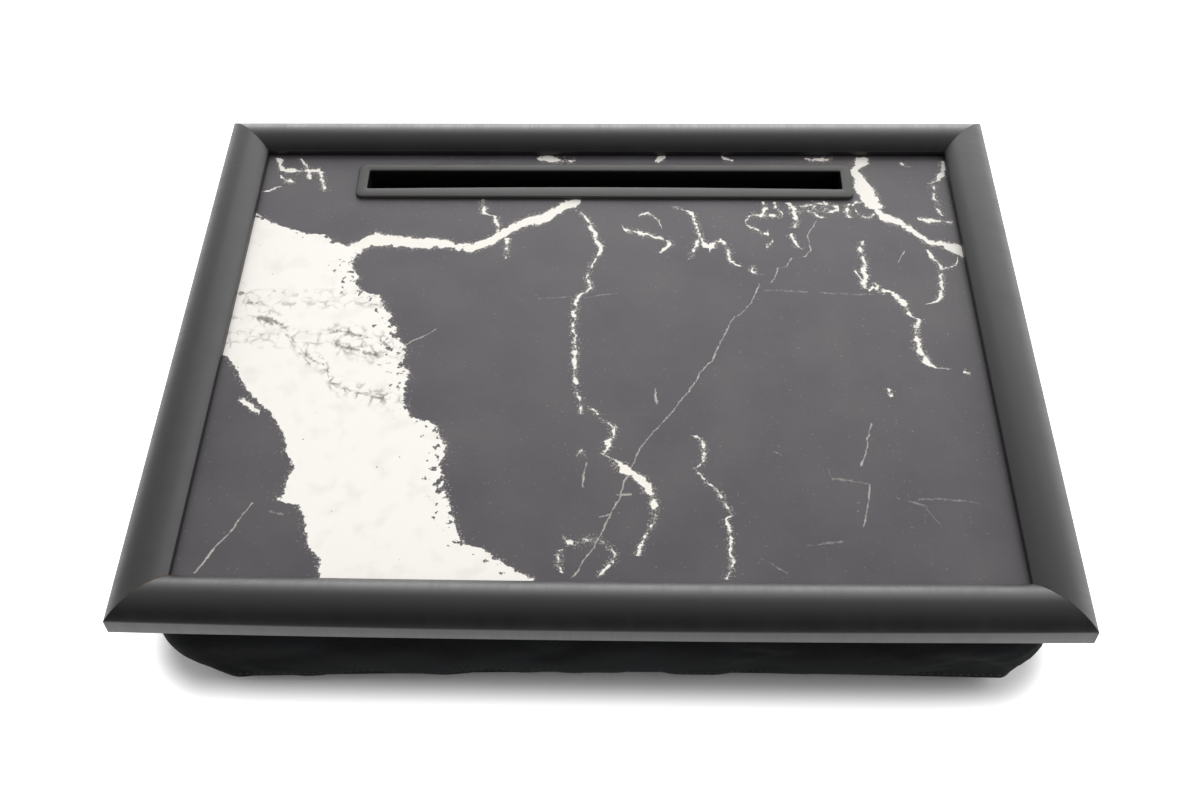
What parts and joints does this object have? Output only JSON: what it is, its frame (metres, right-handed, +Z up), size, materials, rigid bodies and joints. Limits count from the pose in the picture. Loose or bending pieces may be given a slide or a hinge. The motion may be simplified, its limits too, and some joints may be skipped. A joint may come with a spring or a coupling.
{
  "type": "lap tray",
  "caption": "Lap tray: a mitred frame round a flat marble-decor board with a long tablet slot at the back, carried on a soft bead cushion.",
  "frame": {"origin": "on the surface that the tray stands on, under the middle of the frame", "axes": "+X to the user's right along the tray's length, +Y from the user's side to the slot's side, +Z up out of the tray"},
  "size_m": [0.43, 0.33, 0.0702],
  "materials": {
    "black_foil_moulding": "wood-fibre moulding wrapped in satin black brushed foil",
    "marble_decor": "printed black marble decor, matt laminated",
    "fibreboard": "raw medium density fibreboard",
    "black_moulded_plastic": "fine satin moulded texture",
    "charcoal_cloth": "plain woven charcoal cloth",
    "lining_cloth": "thin non-woven lining",
    "foam_beads": "loose white polystyrene beads",
    "galvanised_steel": "galvanised"
  },
  "bodies": {
    "root": {"frame_rail_front": "black_foil_moulding", "frame_rail_right": "black_foil_moulding", "frame_rail_back": "black_foil_moulding", "frame_rail_left": "black_foil_moulding", "marble_laminate": "marble_decor", "tray_board": "fibreboard", "tablet_slot_insert": "black_moulded_plastic", "cushion_cover": "charcoal_cloth", "cushion_top_cloth": "lining_cloth", "bead_filling": "foam_beads", "vee_nail_front_left_outer": "galvanised_steel", "vee_nail_front_left_inner": "galvanised_steel", "vee_nail_front_right_outer": "galvanised_steel", "vee_nail_front_right_inner": "galvanised_steel", "vee_nail_back_right_outer": "galvanised_steel", "vee_nail_back_right_inner": "galvanised_steel", "vee_nail_back_left_outer": "galvanised_steel", "vee_nail_back_left_inner": "galvanised_steel", "framers_point_front_1": "galvanised_steel", "framers_point_front_2": "galvanised_steel", "framers_point_front_3": "galvanised_steel", "framers_point_right_1": "galvanised_steel", "framers_point_right_2": "galvanised_steel", "framers_point_back_1": "galvanised_steel", "framers_point_back_2": "galvanised_steel", "framers_point_back_3": "galvanised_steel", "framers_point_left_1": "galvanised_steel", "framers_point_left_2": "galvanised_steel", "staple_front_1": "galvanised_steel", "staple_front_2": "galvanised_steel", "staple_front_3": "galvanised_steel", "staple_front_4": "galvanised_steel", "staple_front_5": "galvanised_steel", "staple_front_6": "galvanised_steel", "staple_right_1": "galvanised_steel", "staple_right_2": "galvanised_steel", "staple_right_3": "galvanised_steel", "staple_right_4": "galvanised_steel", "staple_back_1": "galvanised_steel", "staple_back_2": "galvanised_steel", "staple_back_3": "galvanised_steel", "staple_back_4": "galvanised_steel", "staple_back_5": "galvanised_steel", "staple_back_6": "galvanised_steel", "staple_left_1": "galvanised_steel", "staple_left_2": "galvanised_steel", "staple_left_3": "galvanised_steel", "staple_left_4": "galvanised_steel"}
  },
  "joints": []
}
